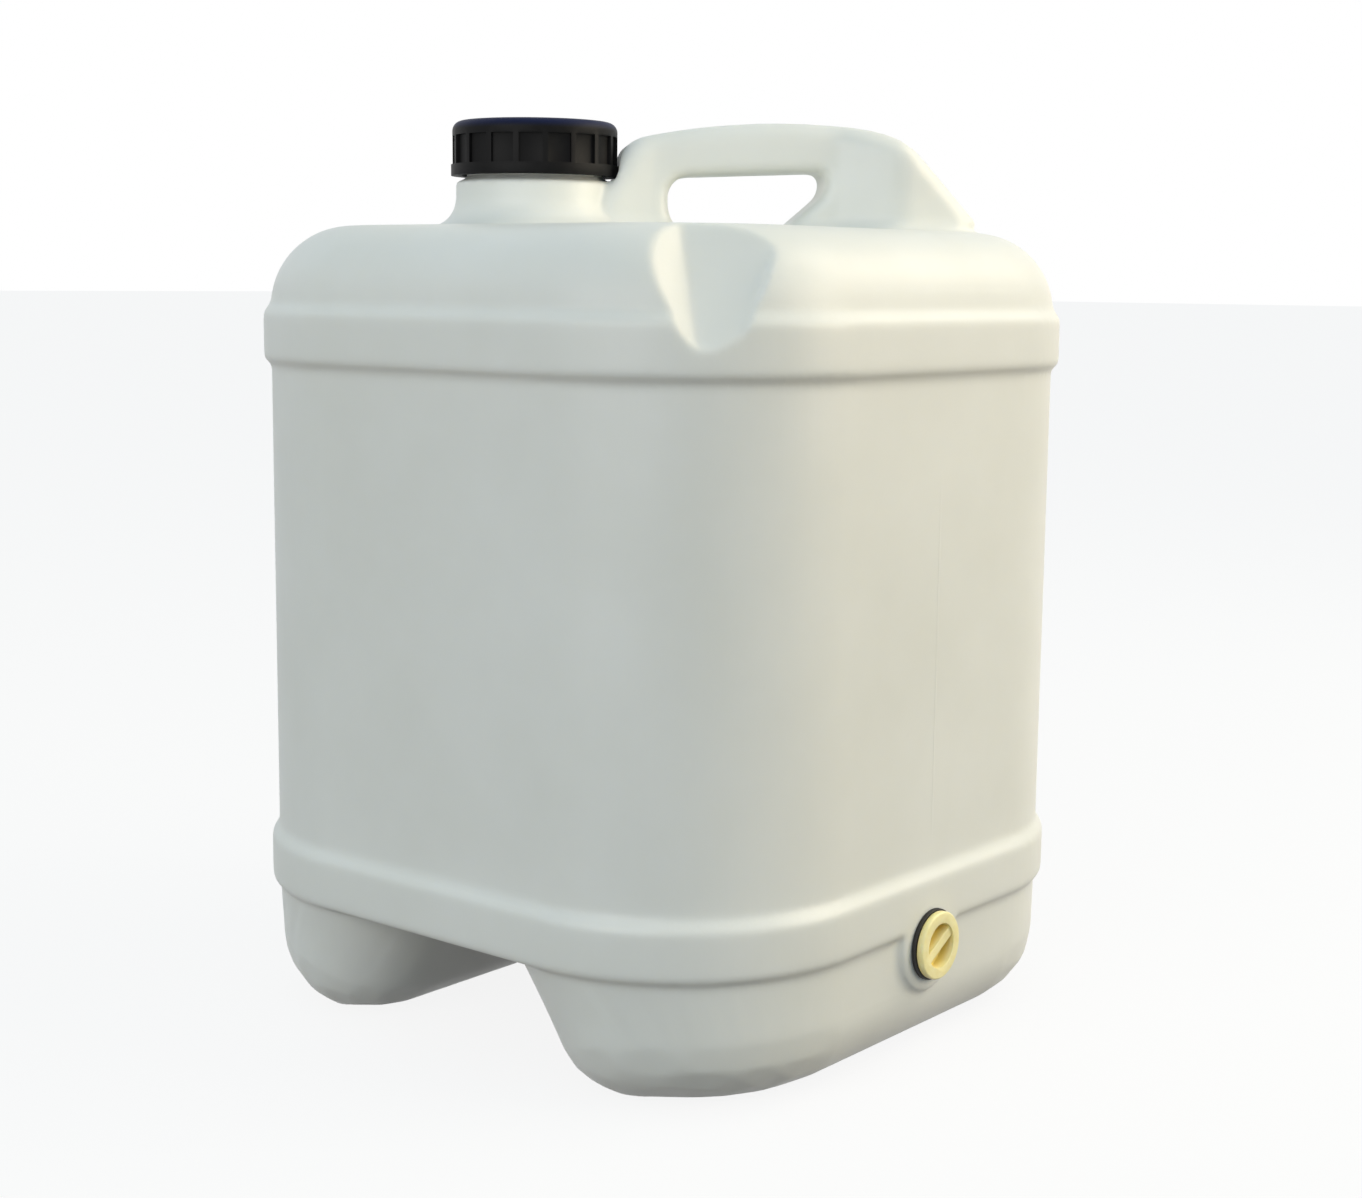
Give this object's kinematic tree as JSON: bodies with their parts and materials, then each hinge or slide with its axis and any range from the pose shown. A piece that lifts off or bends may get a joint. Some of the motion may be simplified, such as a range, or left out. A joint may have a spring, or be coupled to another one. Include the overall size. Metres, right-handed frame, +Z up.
{
  "type": "20 litre cube drum with screw cap and drain bung",
  "caption": "Square blown plastic carboy with hollow feet, a diagonal carrying handle, a screw cap on a corner neck and a drain bung low on the front.",
  "frame": {"origin": "on the floor, under the middle of the body", "axes": "+Z up; -Y is the front, with the bung; the neck stands towards the -X +Y corner and the handle runs from it towards the +X -Y corner"},
  "size_m": [0.286, 0.2858, 0.3678],
  "materials": {
    "natural_hdpe": "milky, half-clear, semi-gloss",
    "cap_plastic": "fine matt",
    "wad_foam": "matt",
    "bung_plastic": "semi-gloss",
    "seal_rubber": "matt"
  },
  "bodies": {
    "drum": {"container": "natural_hdpe"},
    "wad": {"cap_wad": "wad_foam"},
    "cap": {"screw_cap": "cap_plastic"},
    "seal": {"bung_seal": "seal_rubber"},
    "plug": {"bung": "bung_plastic"}
  },
  "joints": [
    {"name": "cap_lift", "type": "slide", "parent": "drum", "child": "wad", "axis": [0, 0, 1], "range_m": [0, 0.0452]},
    {"name": "cap_turn", "type": "hinge", "parent": "wad", "child": "cap", "pos_m": [-0.03889, 0.03889, 0.345], "axis": [0, 0, 1], "range_deg": [0, 3240]},
    {"name": "bung_draw", "type": "slide", "parent": "drum", "child": "seal", "axis": [0, -1, 0], "range_m": [0, 0.0202]},
    {"name": "bung_turn", "type": "hinge", "parent": "seal", "child": "plug", "pos_m": [-0.003, -0.1405, 0.046], "axis": [0, -1, 0], "range_deg": [0, 3960]}
  ],
  "couplings": [
    {"joint": "cap_lift", "follows": "cap_turn", "m_per_rad": 0.00079577},
    {"joint": "bung_draw", "follows": "bung_turn", "m_per_rad": 0.00028871}
  ]
}
